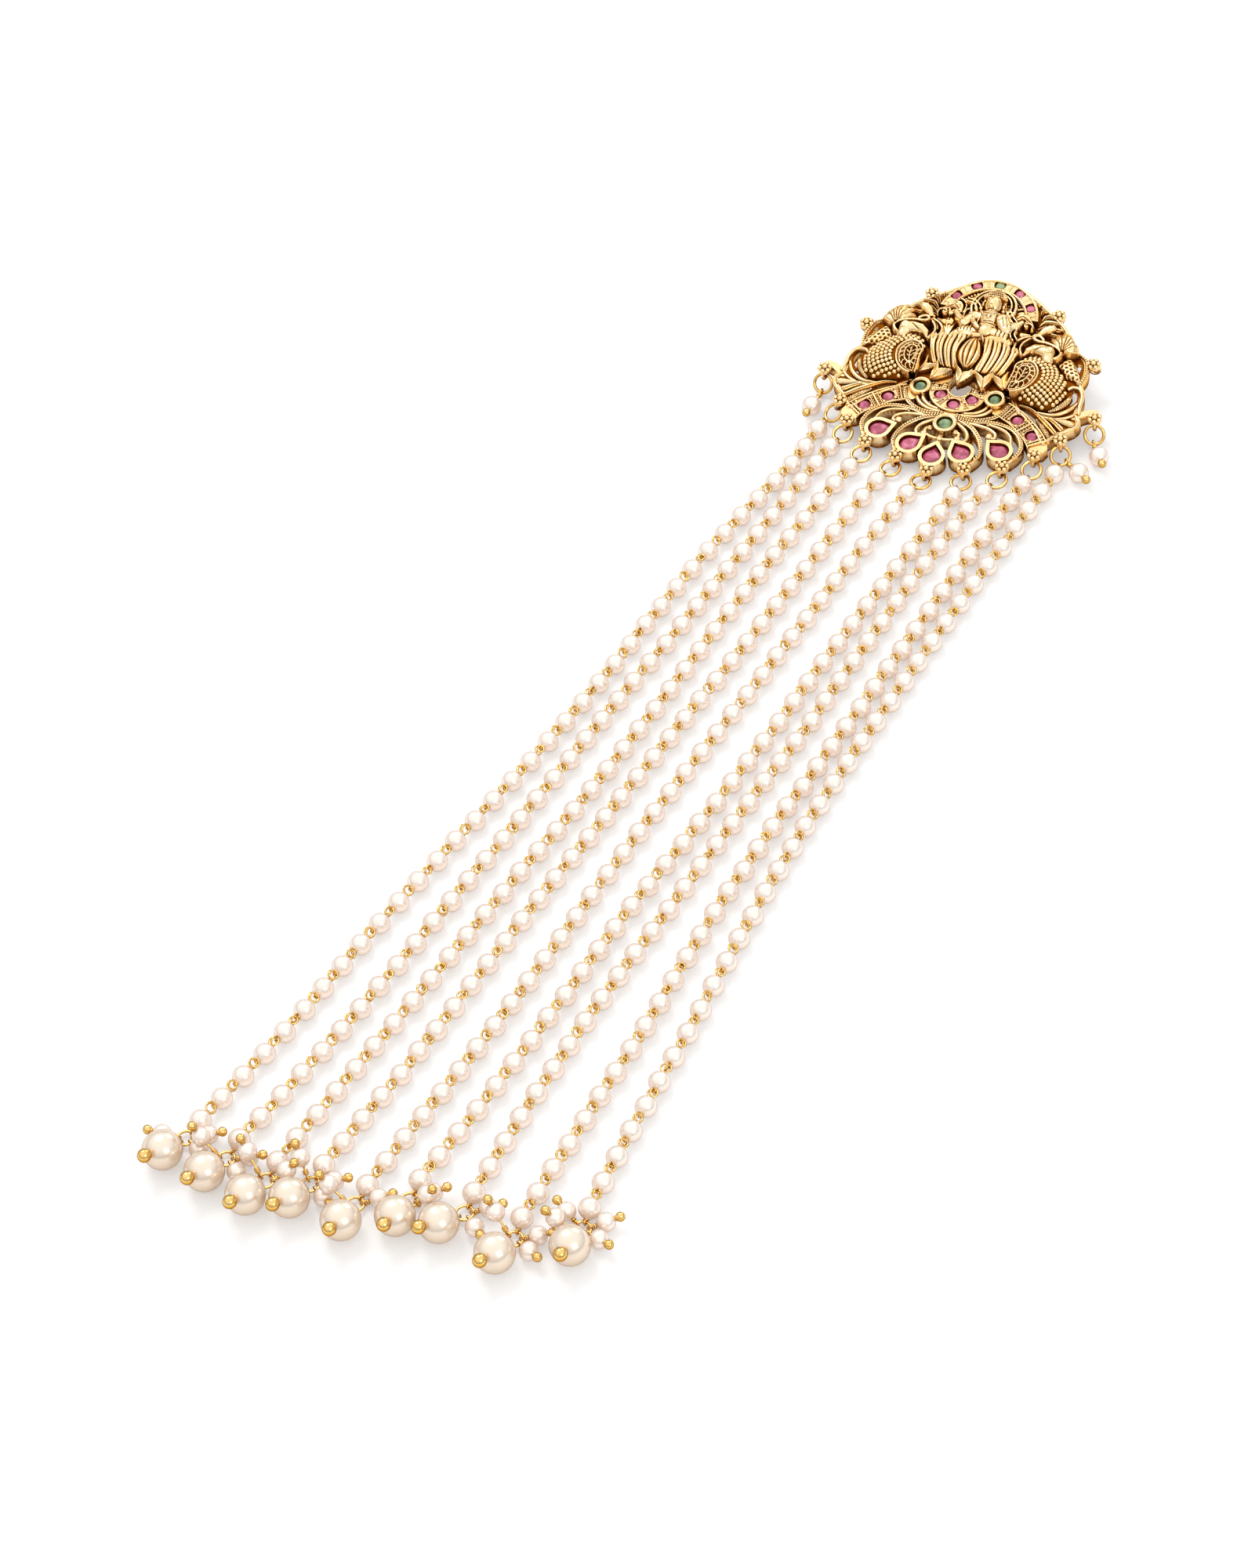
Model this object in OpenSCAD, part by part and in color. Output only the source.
// Hair brooch in temple style: a pierced gold plaque with stones, a lotus throne with a seated
// figure, two peacocks and an arch, and nine strands of pearls that hang from rings on its rim.
// It lies on its back on a flat surface. +Y runs up the brooch and the strands trail towards -Y.

/* [Brooch] */
// Angle at which the plaque leans on its fork
lean = 8; // [6:0.5:9]
// Height of the plaque's back above the surface, below the origin
back_h = 2.9; // [2.8:0.1:3.4]
// Height of the rim and of the deck that carries the cast pieces
deck_h = 2.7; // [2.4:0.1:2.9]
// Thickness of the deck
deck_t = 1; // [0.8:0.1:1.4]
// Width of the rim and of the long scrolls
scroll_w = 0.9; // [0.7:0.1:1]
// Height of the walls round the drop-shaped stones
drop_rim_h = 3.3; // [3:0.1:3.6]

/* [Stones] */
// Width of the drop-shaped stones
drop_w = 3.9; // [3.6:0.1:4.1]
// Length of the drop-shaped stones
drop_l = 4.8; // [4.4:0.1:5]
// Diameter of the small round stones
round_d = 2.8; // [2.4:0.1:3]
// Diameter of the round stone at the centre
centre_d = 3.3; // [3:0.1:3.4]
// Thickness of the metal round a stone
bezel_t = 0.75; // [0.6:0.05:0.8]

/* [Pearls] */
// Diameter of the pearls on the strands
strand_d = 4; // [3.8:0.1:4.2]
// Diameter of the pearl that ends each strand
large_d = 7.2; // [6.8:0.1:7.3]
// Diameter of the small pearls beside it
small_d = 3.4; // [3:0.1:3.5]
// Diameter of the holes through the pearls
drill_d = 0.8; // [0.7:0.1:1]

/* [Findings] */
// Outer diameter of the rings on the rim
ring_d = 4.5; // [4.2:0.1:4.8]
// Wire of the rings on the rim
ring_wire = 0.66; // [0.55:0.01:0.7]
// Wire of the fork on the back
fork_wire = 1.6; // [1.2:0.1:1.6]

/* [Hidden] */

// Colours
gold = [0.83, 0.62, 0.27];
bright_gold = [0.9, 0.7, 0.25];
pearl_white = [0.95, 0.91, 0.86];
ruby_pink = [0.82, 0.2, 0.42];
leaf_green = [0.3, 0.5, 0.38];

// Clearance between pieces that sit on or in each other, and the overlap that welds strokes
seat = 0.05;
weld = 0.02;
// How far the deck lies below the top of its rim
deck_drop = 0.15;
// Steps of the smooth curves between two points of a plan outline
steps = 3;

// Right half of the outline round the deck, from the band's end round to the top
deck_edge = [
    [20.6, -7], [22.9, -3.8], [25.4, -1.6], [26.1, 0.6], [25, 2.4], [25.1, 5.4], [24.5, 8.6],
    [23.5, 10.2], [23.9, 13], [22.8, 16.8], [19.9, 18.6], [18.2, 21], [16.6, 23.6], [14.2, 25.9],
    [11.6, 27.9], [9, 29.8], [6.2, 31.5], [3.2, 32.7], [0, 33.1]
];
// The deck's lower edge, from the top of the heart-shaped opening out to the band's end
deck_foot = [
    [0, 7], [2, 6.2], [3, 4.6], [5.8, 3.2], [10.4, 3], [12, 0.9], [14.4, -0.8], [17.5, -3.6],
    [19.8, -6.6]
];

// Scrolls of the right half: width, then the points along the middle
scrolls = [
    [0.9, [[0, -3.8], [4.6, -4.6], [8, -3.9], [11.2, -3.9], [14, -4.8], [16, -7], [16.6, -9.8],
        [15.2, -12.6]]],
    [0.9, [[0, -4], [4.6, -5.5], [7, -7.5], [8.6, -10], [9, -12.5], [7.8, -14.8]]],
    [0.8, [[0, -3.3], [5.2, -4], [8.3, -2.9], [10.1, -1.1], [10.9, 1.2]]],
    [0.7, [[2.2, -3.4], [5, -3], [7, -1.8], [8, -0.2]]],
    [0.7, [[2.6, -2.8], [4.8, -2.2], [6.4, -0.9], [7, 0.4]]],
    [0.7, [[2, -5.4], [4.3, -6.9], [5.3, -8.6], [4.9, -10], [3.6, -9.8]]],
    [0.7, [[2, -7.6], [3.4, -8.2], [3.3, -9.4], [2, -10.1], [0, -10.3]]],
    [0.7, [[4.4, -5], [8.2, -5.3], [10.4, -6.4], [10.6, -7.7], [9.4, -7.6]]],
    [0.6, [[8.4, -4.4], [11.6, -5], [13.6, -6.4], [14.4, -8.6]]],
    [0.8, [[0, -8.9], [0, -11.8]]]
];
// Ball ends of the scrolls: place and diameter
balls = [[3.5, -9.7, 1.5], [9.5, -7.5, 1.5], [0, -10.3, 1.4]];
// Slots cut through the right half of the deck: width, then the points along the middle
slots = [
    [0.8, [[13.4, 1.3], [16.6, -0.4], [19.4, -3.4]]],
    [0.8, [[15.4, 1.6], [18.6, 0.4], [22, -2.8]]],
    [0.8, [[19.6, 1.6], [22, 0.4], [24, -1]]],
    [1, [[22.2, 4.4], [23.2, 6], [22.6, 8]]],
    [1, [[20.6, 3], [22, 3.2]]],
    [1.2, [[21.4, 12.6], [21.6, 15]]],
    [1.1, [[12.8, 16.6], [14.4, 19.4]]],
    [1.1, [[11.8, 21.6], [11.6, 24.2]]],
    [0.9, [[5.2, 15.8], [6.8, 19]]]
];
// Middle of the right-hand channel band, which ends at a corner of the plaque
band_line = [[9.8, 0.2], [13.7, -1.8], [17.7, -5.1], [19.6, -7.5]];
band_w = 4.2;
band_floor = 1.9;
band_top = 2.6;
// Square cells round the stones of the bands, and how they are turned
band_cell = 3;
band_turn = -38;

// Round stones of the right half: place along X and Y
green_at = [7.9, 1.8];
centre_at = [0, -6.6];
crescent_at = [3.3, 0.9];
crescent_mid = [0, -1.1];
band_at = [[13.7, -1.8], [17.7, -5.1]];
// Centre and radii of the crescent that holds three stones
crescent_c = [0, 3.1];
crescent_r = [2.1, 6.2];
crescent_top = 3;
green_top = 3.6;
// Seats of the stones: floor, girdle and table above the plaque's back
drop_seat = [1.4, 3.1];
green_seat = [1.9, 3.45];
crescent_seat = [1.5, 3];
band_seat = [1.2, 2.6];
arch_seat = [3.2, 4.5];

// Drop-shaped stones: place along X and Y, and the way the point looks
drops = [
    [0, -14.8, 90], [-5.2, -12.8, 46], [5.2, -12.8, 134], [-12.4, -10.6, 32], [12.4, -10.6, 148]
];

// Arch behind the figure: centre, inner and outer radius, and the angles of its stones
arch_c = [0, 21.6];
arch_r = [7.7, 10.5];
arch_mid = 9.2;
arch_stones = [30, 60, 90, 120, 150];
arch_top = 4.5;
arch_stone_d = 2.4;

// Lugs on the rim: place along X and Y, the way the lug looks, and the length of the neck
// behind it. The first nine carry the strands, the next two the side drops, and the last four
// are bare.
lugs = [
    [-22.8, -5.2, 232, 0], [-19.7, -9.9, 258, 0], [-14.4, -14.3, 262, 0],
    [-7.2, -16.6, 256, 0], [0, -18.6, 252, 0], [7.2, -16.6, 268, 0],
    [14.4, -14.3, 254, 0], [19.7, -9.9, 270, 0], [23.6, -4.8, 285, 2.2],
    [-28.6, 2.2, 264, 0], [28.6, 2.2, 280, 0],
    [-13.6, 27, 120, 0], [13.6, 27, 60, 0], [-24.2, 16, 170, 0], [24.2, 16, 10, 0]
];
// The neck's width, and how far in front of the lug's middle it stops
neck_w = 1;
neck_end = -0.6;
ring_lugs = 11;
// Arms that carry the two side lugs: points along the right-hand one
arm = [[24.4, 1.6], [26.5, 3.2], [28.3, 3.8]];
arm_w = 1.4;
eye_h = 1.2;
eye_r = 1;
eye_wire = 0.7;
lug_d = 2.7;
// How far a ring drops in its eye, and how high its far side is held
ring_drop = 0.2;
ring_far_z = 1;

// Pearls of the side drops: the left-hand one, then the two on the right, and how far round its
// ring the last of them hangs
drop_spots = [[-29, -5.8, 2], [31.4, -4.6, 2], [29, -10.4, 2]];
drop_turn = 45;

// Strands, each from its ring down to its cluster, on the surface
routes = [
    [[-25.2, -10.2], [-26.8, -24], [-33, -48], [-37.6, -72], [-41.5, -96], [-46.6, -120],
        [-52.3, -144], [-57.7, -168], [-62.5, -192], [-67.8, -213]],
    [[-20.9, -14.6], [-22.4, -24], [-26.7, -48], [-31.1, -72], [-35.6, -96], [-39.8, -120],
        [-44.3, -144], [-48.8, -168], [-53.6, -192], [-59.4, -214.8]],
    [[-15.1, -19.2], [-15.8, -24], [-20.6, -48], [-24.5, -72], [-28, -96], [-32, -120],
        [-36.8, -144], [-41.4, -168], [-46, -192], [-50.9, -217.2]],
    [[-8.2, -21.6], [-9.2, -26], [-13.1, -48], [-17.2, -72], [-21.5, -96], [-25.8, -120],
        [-30.1, -144], [-34.1, -168], [-38.1, -192], [-42.9, -215.4]],
    [[-1.3, -23.6], [-2.2, -28], [-5.9, -48], [-10, -72], [-14, -96], [-18.1, -120], [-21.8, -144],
        [-25.2, -168], [-29.2, -192], [-33.9, -217.1]],
    [[7.1, -21.6], [6.8, -26], [3, -48], [-1.2, -72], [-4.9, -96], [-9.2, -120], [-13.8, -144],
        [-17.6, -168], [-21.4, -192], [-25.7, -213.3]],
    [[13.3, -19.2], [11.6, -26], [7.6, -48], [4.1, -72], [0.6, -96], [-3.6, -120], [-7.4, -144],
        [-11.2, -168], [-14, -192], [-15.8, -213]],
    [[19.6, -14.6], [18.2, -24], [14.4, -48], [10.9, -72], [7.4, -96], [3.7, -120], [0.8, -144],
        [-1.1, -168], [-3.5, -192], [-5.9, -215.4]],
    [[24.7, -10], [22.8, -24], [18.9, -48], [15.3, -72], [11.9, -96], [9.2, -120], [7.5, -144],
        [6.5, -168], [5, -192], [4.3, -210]]
];
route_steps = 2;
strand_sides = 8;

// Clusters: the end ring's place, and the way to the large pearl
clusters = [
    [-69.2, -217.1, 255], [-60.4, -219.1, 258], [-51.8, -221.4, 262], [-43.9, -219.7, 258],
    [-34.8, -221.3, 272], [-26.2, -217.6, 271], [-16.1, -217.2, 245], [-5.9, -219.7, 260],
    [4.3, -214.2, 273]
];
// Small pearls of each cluster: the way out from the end ring, reach from it and height
small_pearls = [
    [[19, 4.2, 1.7], [329.5, 4.2, 1.7], [192, 4.2, 1.7]],
    [[15, 4.2, 1.7], [322, 4.2, 1.7], [176, 4.3, 5.1]],
    [[15, 4.2, 4.2], [150, 4.4, 5]],
    [[20, 4.2, 1.7], [326, 4.2, 1.7], [135, 4.2, 3.6]],
    [[28, 4.2, 1.7], [183, 4.3, 5.1]],
    [[32, 4.2, 1.7], [350, 4.2, 5.1]],
    [[25, 4.2, 1.7], [318, 4.2, 1.7]],
    [[20, 4.2, 1.7], [330, 4.2, 1.7], [155, 4.2, 4.6]],
    [[30, 4.2, 1.7], [336, 4.2, 1.7], [150, 4.2, 1.7], [205, 4.2, 4.8]]
];
end_ring_r = 1.55;
end_ring_wire = 0.5;
end_ring_z = 0.9;
loop_r = 0.62;
drop_loop_r = 0.78;
loop_wire = 0.36;
pin_wire = 0.44;
pin_ball_d = 1.7;
large_ball_d = 2.5;

// Fork on the back: half its width, where its points start and its bend lies, its post and points
fork_half = 5;
fork_tip_y = -6.5;
fork_bend_y = 22;
fork_post_d = 3;
fork_point = 1.5;

// Smooth curves through points

function between(a, b, c, d, t) =
    b + (c - a) * t / 2 + (2 * a - 5 * b + 4 * c - d) * t * t / 2
    + (3 * b - a - 3 * c + d) * t * t * t / 2;

function smooth(p, n) = concat(
    [for (i = [0 : len(p) - 2]) for (k = [0 : n - 1])
        between(p[max(i - 1, 0)], p[i], p[i + 1], p[min(i + 2, len(p) - 1)], k / n)],
    [p[len(p) - 1]]
);

function backwards(p) = [for (i = [len(p) - 1 : -1 : 0]) p[i]];

function side(p, i) =
    let(d = p[min(i + 1, len(p) - 1)] - p[max(i - 1, 0)])
    [-d[1], d[0]] / norm([d[0], d[1]]);

function ribbon(p, w) = concat(
    [for (i = [0 : len(p) - 1]) p[i] + side(p, i) * w / 2],
    [for (i = [len(p) - 1 : -1 : 0]) p[i] - side(p, i) * w / 2]
);

// Outline of a drop: a round end of the given radius and a point at the given reach
function drop_outline(r, reach, n) =
    let(tangent = acos(r / reach), step = (360 - 2 * tangent) / n)
    concat([for (k = [0 : n]) r * [cos(tangent + k * step), sin(tangent + k * step)]], [[reach, 0]]);

function on_table(x, y, z) = [
    x, y * cos(lean) - z * sin(lean), back_h + y * sin(lean) + z * cos(lean)
];

// Shapes that repeat

module both() {
    children();
    mirror([1, 0, 0]) children();
}

module on_brooch() translate([0, 0, back_h]) rotate([lean, 0, 0]) children();

module stroke(points, w) {
    line = smooth(points, steps);
    polygon(ribbon(line, w));
    translate(line[0]) circle(d = w, $fn = 8);
    translate(line[len(line) - 1]) circle(d = w, $fn = 8);
}

module torus(r, wire) rotate_extrude($fn = 48) translate([r, 0]) circle(d = wire, $fn = 24);

// Carries its children along the line from one point to another, with +X as the line
module along(from, to) {
    d = to - from;
    translate(from)
        rotate([0, -atan2(d[2], norm([d[0], d[1]])), atan2(d[1], d[0])])
            children();
}

module on_drop(d) translate([d[0], d[1], 0]) rotate(d[2])
    translate([-(drop_l - drop_w) / 2, 0, 0]) children();

// A cut stone: a girdle of the given outline, a table above it and a blunt point below
module gem(outline, floor_z, table_z) {
    n = len(outline);
    h = table_z - floor_z;
    rings = [[0.5, 0], [1, 0.5 * h], [1, 0.6 * h], [0.58, h]];
    points = [for (r = rings) for (p = outline) [p[0] * r[0], p[1] * r[0], floor_z + r[1]]];
    walls = [for (j = [0 : len(rings) - 2]) for (i = [0 : n - 1])
        [j * n + i, (j + 1) * n + i, (j + 1) * n + (i + 1) % n, j * n + (i + 1) % n]];
    ends = [[for (i = [0 : n - 1]) i], [for (i = [n - 1 : -1 : 0]) (len(rings) - 1) * n + i]];
    polyhedron(points, concat(walls, ends));
}

function round_outline(d, n) = [for (k = [0 : n - 1]) d / 2 * [cos(k * 360 / n), sin(k * 360 / n)]];

// The plaque

module deck_outline() {
    edge = concat(smooth(deck_foot, steps), smooth(deck_edge, steps));
    polygon(concat(edge, [for (p = backwards(edge)) [-p[0], p[1]]]));
}

module slot_outlines() both() for (s = slots) stroke(s[1], s[0]);

module band_outline() stroke(band_line, band_w);

module crescent_outline() intersection() {
    translate(crescent_c) difference() {
        circle(r = crescent_r[1], $fn = 48);
        circle(r = crescent_r[0], $fn = 24);
    }
    translate([-10, -10]) square([20, 12.6]);
}

module drop_plan(grow) offset(delta = grow) polygon(drop_outline(drop_w / 2, drop_l - drop_w / 2, 14));

// Lattice of scrolls below the deck, one height throughout
module lattice_plan() offset(delta = weld) {
    both() {
        for (s = scrolls) stroke(s[1], s[0]);
        for (b = balls) translate([b[0], b[1]]) circle(d = b[2], $fn = 16);
        stroke(arm, arm_w);
    }
    difference() {
        deck_outline();
        offset(delta = -scroll_w) deck_outline();
    }
}

module pear_walls() for (d = drops) on_drop(d) difference() {
    linear_extrude(drop_rim_h) drop_plan(bezel_t + seat);
    translate([0, 0, drop_seat[0] - seat]) linear_extrude(drop_rim_h) drop_plan(seat);
}

module bezel(at, d, top) translate(at) cylinder(d = d + 2 * bezel_t, h = top, $fn = 32);

// The hole that a round stone sits in
module pit(at, d, seat_z) translate([at[0], at[1], seat_z[0] - seat])
    cylinder(d = d + 2 * seat, h = 4, $fn = 32);

module lug(l) translate([l[0], l[1], 0]) rotate(l[2]) {
    translate([0.2, 0, eye_h]) rotate([90, 0, 0]) torus(eye_r, eye_wire);
    translate([0, 0, eye_h + eye_r]) cylinder(d = lug_d, h = 0.7, $fn = 24);
    translate([0, 0, eye_h + eye_r + 0.6]) sphere(d = 1.2, $fn = 24);
    if (l[3] > 0) translate([-l[3], -neck_w / 2, 0]) cube([l[3] + neck_end, neck_w, deck_h]);
}

module plaque() color(gold) on_brooch() difference() {
    union() {
        translate([0, 0, deck_h - deck_t]) linear_extrude(deck_t - deck_drop)
            offset(delta = weld) difference() {
                offset(delta = -scroll_w / 2) deck_outline();
                slot_outlines();
            }
        linear_extrude(deck_h) lattice_plan();
        both() linear_extrude(band_floor) offset(delta = weld) band_outline();
        both() linear_extrude(band_top) offset(delta = weld) difference() {
            band_outline();
            for (p = band_at) translate(p) rotate(band_turn) square(band_cell, center = true);
        }
        linear_extrude(crescent_top) offset(delta = weld) crescent_outline();
        pear_walls();
        both() bezel(green_at, round_d, green_top);
        bezel(centre_at, centre_d, green_top);
        for (l = lugs) lug(l);
    }
    both() {
        for (p = band_at) pit(p, round_d, band_seat);
        pit(crescent_at, round_d, crescent_seat);
        pit(green_at, round_d, green_seat);
    }
    pit(crescent_mid, round_d, crescent_seat);
    pit(centre_at, centre_d, green_seat);
}

// Stones

module drop_stone(k) color(ruby_pink) on_brooch() on_drop(drops[k])
    gem(drop_outline(drop_w / 2, drop_l - drop_w / 2, 12), drop_seat[0], drop_seat[1]);

module round_stone(at, d, seat_z) on_brooch() translate([at[0], at[1], 0])
    gem(round_outline(d, 12), seat_z[0], seat_z[1]);

function arch_place(a) = arch_c + arch_mid * [cos(a), sin(a)];

module arch_stone(k) color(k == 3 ? leaf_green : ruby_pink)
    round_stone(arch_place(arch_stones[k - 1]), arch_stone_d, arch_seat);

// Stones of the channel bands: the first two on the left, from the outside in
function band_place(k) =
    k < 3 ? [-band_at[2 - k][0], band_at[2 - k][1]] : band_at[k - 3];

module green_stone(at, d) color(leaf_green) round_stone(at, d, green_seat);

module crescent_stone(at) color(ruby_pink) round_stone(at, round_d, crescent_seat);

module band_stone(k) color(ruby_pink) round_stone(band_place(k), round_d, band_seat);

// The arch: a channel band behind the figure, with five stones

module arch() color(gold) on_brooch() difference() {
    translate([arch_c[0], arch_c[1], deck_h + seat]) difference() {
        cylinder(r = arch_r[1], h = arch_top - deck_h, $fn = 64);
        translate([0, 0, -1]) cylinder(r = arch_r[0], h = 5, $fn = 64);
        translate([-20, -20, -1]) cube([40, 21.4, 5]);
    }
    for (a = arch_stones) pit(arch_place(a), arch_stone_d, arch_seat);
}

// Rings, each through its eye and held up by its strand at the far side

module ring_in(l) {
    inside = (ring_d - ring_wire) / 2;
    turn = [cos(l[2]), sin(l[2])];
    eye = on_table(l[0] + 0.2 * turn[0], l[1] + 0.2 * turn[1], eye_h) - [0, 0, ring_drop];
    translate(eye) rotate([0, asin(min(1, (eye[2] - ring_far_z) / (2 * inside))), l[2]])
        translate([inside, 0, 0]) torus(inside, ring_wire);
}

module jump_rings() color(bright_gold) for (k = [0 : ring_lugs - 1]) ring_in(lugs[k]);

// Strands: one tube for each row of pearls on its wire

module strand(k) {
    line = smooth(routes[k], route_steps);
    n = strand_sides;
    r = strand_d / 2 / cos(180 / n);
    points = [for (i = [0 : len(line) - 1]) for (j = [0 : n - 1])
        let(a = (j + 0.5) * 360 / n, s = side(line, i))
        [line[i][0] + s[0] * r * cos(a), line[i][1] + s[1] * r * cos(a), strand_d / 2 + r * sin(a)]];
    walls = [for (i = [0 : len(line) - 2]) for (j = [0 : n - 1])
        [i * n + j, (i + 1) * n + j, (i + 1) * n + (j + 1) % n, i * n + (j + 1) % n]];
    ends = [[for (j = [0 : n - 1]) j], [for (j = [n - 1 : -1 : 0]) (len(line) - 1) * n + j]];
    color(pearl_white) polyhedron(points, concat(walls, ends));
}

// Clusters: an end ring with head pins looped round it, each through a pearl

function ring_point(c, a) = [c[0] + end_ring_r * cos(a), c[1] + end_ring_r * sin(a), end_ring_z];
function pearl_point(c, a, reach, z) = [c[0] + reach * cos(a), c[1] + reach * sin(a), z];
large_reach = end_ring_r + loop_r + loop_wire / 2 + 0.1 + large_d / 2 - 0.45;
function large_point(c) = pearl_point(c, c[2], large_reach, large_d / 2);

module head_pin(from, to, pearl_d, ball_d, r = loop_r) along(from, to) {
    reach = norm(to - from);
    rotate([90, 0, 0]) torus(r, loop_wire);
    translate([r, 0, 0]) rotate([0, 90, 0])
        cylinder(d = pin_wire, h = reach - r + pearl_d / 2 + ball_d / 2, $fn = 24);
    translate([reach + pearl_d / 2 + ball_d / 2 - seat, 0, 0]) sphere(d = ball_d, $fn = 32);
}

module drilled_pearl(from, to, d) along(from, to)
    translate([norm(to - from), 0, 0]) rotate([0, 90, 0]) difference() {
        sphere(d = d, $fn = 48);
        cylinder(d = drill_d, h = 2 * d, center = true, $fn = 24);
    }

module large_pearl(k) {
    c = clusters[k];
    color(pearl_white) drilled_pearl(ring_point(c, c[2]), large_point(c), large_d);
}

module cluster(k) {
    c = clusters[k];
    color(bright_gold) {
        translate([c[0], c[1], end_ring_z]) torus(end_ring_r, end_ring_wire);
        head_pin(ring_point(c, c[2]), large_point(c), large_d + 0.2, large_ball_d);
        for (s = small_pearls[k])
            head_pin(ring_point(c, s[0]), pearl_point(c, s[0], s[1], s[2]), small_d + 0.2, pin_ball_d);
    }
    color(pearl_white) for (s = small_pearls[k])
        drilled_pearl(ring_point(c, s[0]), pearl_point(c, s[0], s[1], s[2]), small_d);
}

// Drops that hang beside the strands: the ring's lug, the turn round the ring, and the pearl's place

function ring_spot(l, turn) =
    let(
        inside = (ring_d - ring_wire) / 2,
        out = [cos(l[2]), sin(l[2])],
        across = [-out[1], out[0]],
        eye = on_table(l[0] + 0.2 * out[0], l[1] + 0.2 * out[1], eye_h) - [0, 0, ring_drop],
        fall = asin(min(1, (eye[2] - ring_far_z) / (2 * inside))),
        run = inside * (1 + cos(turn)),
        shift = inside * sin(turn)
    )
    [
        eye[0] + out[0] * run * cos(fall) + across[0] * shift,
        eye[1] + out[1] * run * cos(fall) + across[1] * shift,
        eye[2] - run * sin(fall)
    ];

module drop(l, turn, to) {
    from = ring_spot(l, turn);
    color(bright_gold) head_pin(from, to, strand_d + 0.2, pin_ball_d, drop_loop_r);
    color(pearl_white) drilled_pearl(from, to, strand_d);
}

module drop_left() drop(lugs[9], 0, drop_spots[0]);

module drop_right() {
    drop(lugs[10], 0, drop_spots[1]);
    drop(lugs[8], drop_turn, drop_spots[2]);
}

// The fork: a wire bent to two prongs, with a post that carries the deck

module hair_fork() color(bright_gold) {
    translate([0, 0, fork_wire / 2]) {
        both() translate([fork_half, fork_tip_y, 0]) rotate([-90, 0, 0]) {
            cylinder(d = fork_wire, h = fork_bend_y - fork_tip_y, $fn = 32);
            translate([0, 0, -fork_point]) cylinder(d1 = 0.6, d2 = fork_wire, h = fork_point, $fn = 32);
        }
        translate([0, fork_bend_y, 0]) rotate_extrude(angle = 180, $fn = 64)
            translate([fork_half, 0]) circle(d = fork_wire, $fn = 32);
    }
    difference() {
        translate([0, fork_bend_y + fork_half, 0]) cylinder(d = fork_post_d, h = 12, $fn = 32);
        on_brooch() translate([-10, 0, deck_h - deck_t - seat]) cube([20, 40, 20]);
    }
}

// Rounded solids of the cast figures

module ball(at, r, fn = 12) translate(at) sphere(r = r, $fn = fn);

// A limb: the hull of balls along a list of [x, y, z, radius]
module limb(list, fn = 10) hull() for (p = list) ball([p[0], p[1], p[2]], p[3], fn);

cast_z = deck_h + seat;

// Cuts away what lies below the seat of the cast pieces
module seated() difference() {
    children();
    translate([-40, -30, cast_z - 20]) cube([80, 80, 20]);
}

// Peacock of the right-hand side, seen from the side with its head turned inwards
body_at = [16.4, 7.2];
body_r = 5.1;
body_rise = 2.8;
wing = [[9.9, 3.5], [13.2, 4.2], [15.2, 6.6], [15.6, 9.2], [14.1, 11.4], [11.6, 10.8], [10.1, 8.4], [9.7, 5.6]];
wing_c = [12.4, 7.6];
plumes = [[14.9, 18.8], [16.6, 18.9], [17.8, 17.8], [18.2, 16.2]];
curls = [
    [[18.6, 2.6, 3, 0.6], [21.4, 3.2, 3.2, 0.6], [23.2, 4.6, 3.2, 0.6]],
    [[23.2, 4.6, 3.2, 0.6], [23.9, 6.8, 3.3, 0.6], [22.6, 8.8, 3.4, 0.6]],
    [[20.8, 4, 3, 0.5], [22.2, 6.2, 3.3, 0.5], [21.4, 8.2, 3.4, 0.5]]
];

module peacock() color(gold) on_brooch() seated() {
    // Body, a low dome
    hull() for (k = [0 : 3])
        translate([body_at[0], body_at[1], cast_z - 0.2 + body_rise * sin(k * 28)])
            cylinder(r = body_r * cos(k * 26), h = 0.2, $fn = 24);
    // Wing, raised over the body with a bevelled edge
    hull() {
        translate([0, 0, cast_z]) linear_extrude(1.8) polygon(wing);
        translate([wing_c[0], wing_c[1], cast_z + 1.8]) linear_extrude(1)
            scale(0.8) translate(-wing_c) polygon(wing);
    }
    limb([[14.4, 10.6, 3.4, 2], [12.8, 13, 4, 1.7]]);
    limb([[12, 14.4, 4.2, 1.7], [12.9, 13.2, 4, 1.6]]);
    limb([[11.2, 14.4, 4.2, 0.9], [9.3, 14.1, 3.8, 0.3]]);
    for (p = plumes) limb([[12.8, 15, 3.4, 0.7], [p[0], p[1], 3.6, 0.85]], 8);
    limb([[19.6, 10.6, 3.2, 1.5], [21.6, 14, 3.4, 1.5]]);
    for (c = curls) limb(c, 8);
}

// Lotus throne: a row of upright petals, a bud in front and leaves turned down below
leaf_tips = [[0, 3.7, 1.6], [5.2, 3.5, 1.6], [8.3, 5, 0.8]];

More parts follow.
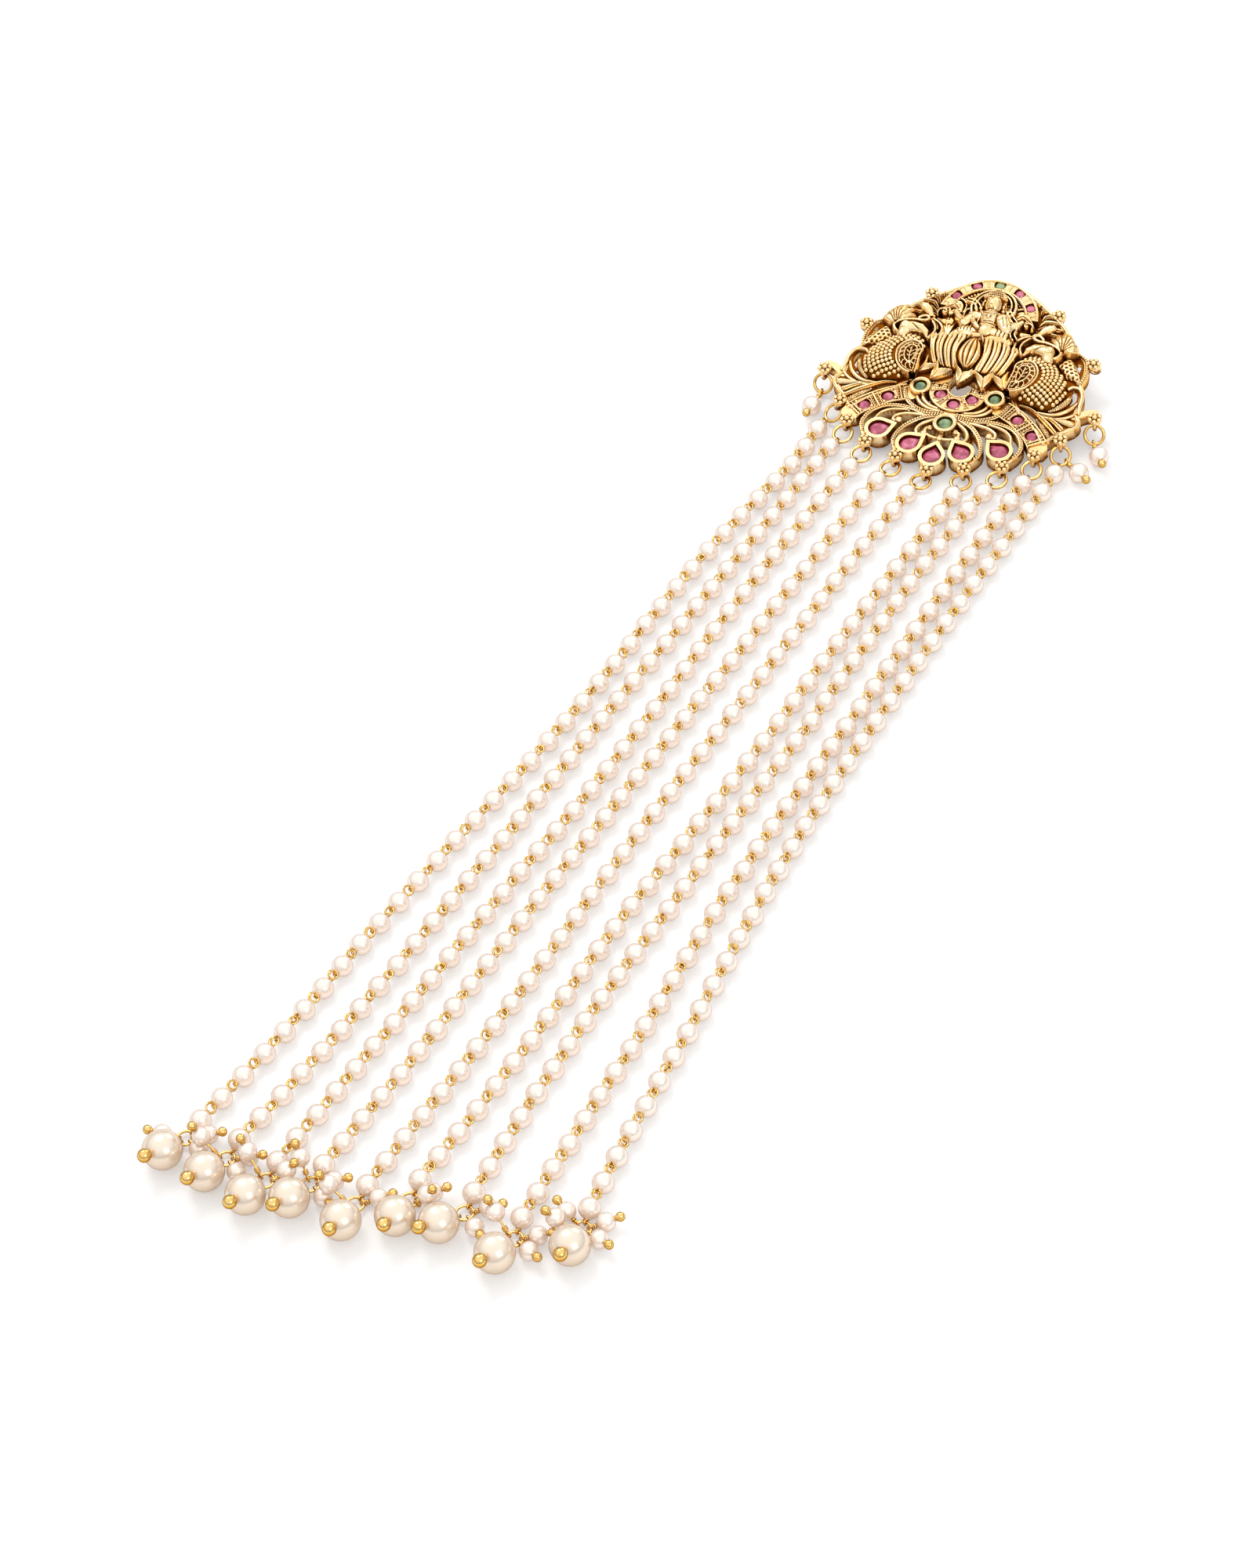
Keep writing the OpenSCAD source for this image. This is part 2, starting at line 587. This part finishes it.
module lotus() color(gold) on_brooch() seated() {
    translate([0, 0, cast_z]) linear_extrude(1.8)
        polygon([[-5.8, 5.8], [5.8, 5.8], [8.4, 12.6], [-8.4, 12.6]]);
    both() for (i = [1 : 5])
        limb([
            [1.1 * i + 0.7, 6.4 + 0.1 * i, 3.9, 0.8],
            [1.45 * i + 0.9, 9.6, 5.9 - 0.16 * i, 0.95],
            [1.62 * i + 0.9, 13 - 0.08 * i, 5.5 - 0.14 * i, 0.95]
        ], 10);
    limb([[0, 6.2, 4.4, 1], [0, 9.6, 5.4, 2], [0, 13.2, 5.2, 0.7], [0, 14, 5, 0.25]], 14);
    both() for (t = leaf_tips)
        limb([
            [t[0], t[1], 3.2, 0.3], [t[0] - 1.7, 6.8, 3.1, 0.35], [t[0] + t[2], 6.8, 3.1, 0.35],
            [t[0] * 0.95, 7.2, 4.9, 0.4], [t[0], 5.4, 4.4, 0.35]
        ], 6);
}

// Seated figure, facing up from the plaque, with a ring of light behind its head
head_at = [0.6, 23.7, 6.2];
head_r = 1.9;

module figure() color(gold) on_brooch() seated() {
    translate([head_at[0], head_at[1], cast_z]) cylinder(r = 4.3, h = 1.2, $fn = 24);
    translate([0, 0, cast_z]) linear_extrude(1.4) polygon([[-5, 15.6], [5, 15.6], [4.2, 22], [-4.2, 22]]);
    ball(head_at, head_r, 16);
    limb([[0.6, 25.2, 5.9, 1.8], [0.6, 26.6, 5.6, 1.1], [0.6, 28, 5.2, 0.5]]);
    limb([[0.5, 21, 5.4, 1], [0.6, 22.6, 5.6, 1]]);
    limb([[0.3, 17.4, 5, 1.8], [0.5, 20.2, 5.3, 2.1]]);
    limb([[-2.4, 21, 5, 1.1], [3.4, 21, 5, 1.1]]);
    both() limb([[1.4, 16.6, 4.8, 1.6], [5.4, 16.4, 5, 1.4]]);
    limb([[-5.6, 16.2, 4.8, 1.3], [1.6, 16, 5.6, 1.1]]);
    limb([[5.6, 16.2, 4.8, 1.3], [-1, 15.7, 5, 1]]);
    both() {
        limb([[3.4, 20.8, 5, 0.9], [5, 18.4, 5, 0.8]]);
        limb([[5, 18.4, 5, 0.8], [8.4, 19.4, 5, 0.6]]);
        limb([[9.6, 19, 4.4, 1.2], [10.2, 20.4, 4.4, 0.9]]);
        limb([[8.4, 19.4, 4.6, 0.6], [10, 18.6, 4.2, 0.9]]);
        translate([8.9, 18.4, cast_z]) cylinder(r = 1.2, h = 1, $fn = 12);
        limb([[4.4, 17, 3.4, 1], [8.8, 18.6, 3.4, 0.8]], 8);
    }
}

plaque();
arch();
mirror([1, 0, 0]) peacock();  // peacock_left
peacock();  // peacock_right
lotus();
figure();
hair_fork();
jump_rings();
for (k = [1 : 5]) drop_stone(k - 1);
green_stone(centre_at, centre_d);  // stone_green_1
green_stone([-green_at[0], green_at[1]], round_d);  // stone_green_2
green_stone(green_at, round_d);  // stone_green_3
crescent_stone([-crescent_at[0], crescent_at[1]]);  // stone_crescent_1
crescent_stone(crescent_mid);  // stone_crescent_2
crescent_stone(crescent_at);  // stone_crescent_3
for (k = [1 : 4]) band_stone(k);
for (k = [1 : 5]) arch_stone(k);
for (k = [1 : 9]) strand(k - 1);
for (k = [1 : 9]) large_pearl(k - 1);
for (k = [1 : 9]) cluster(k - 1);
drop_left();
drop_right();
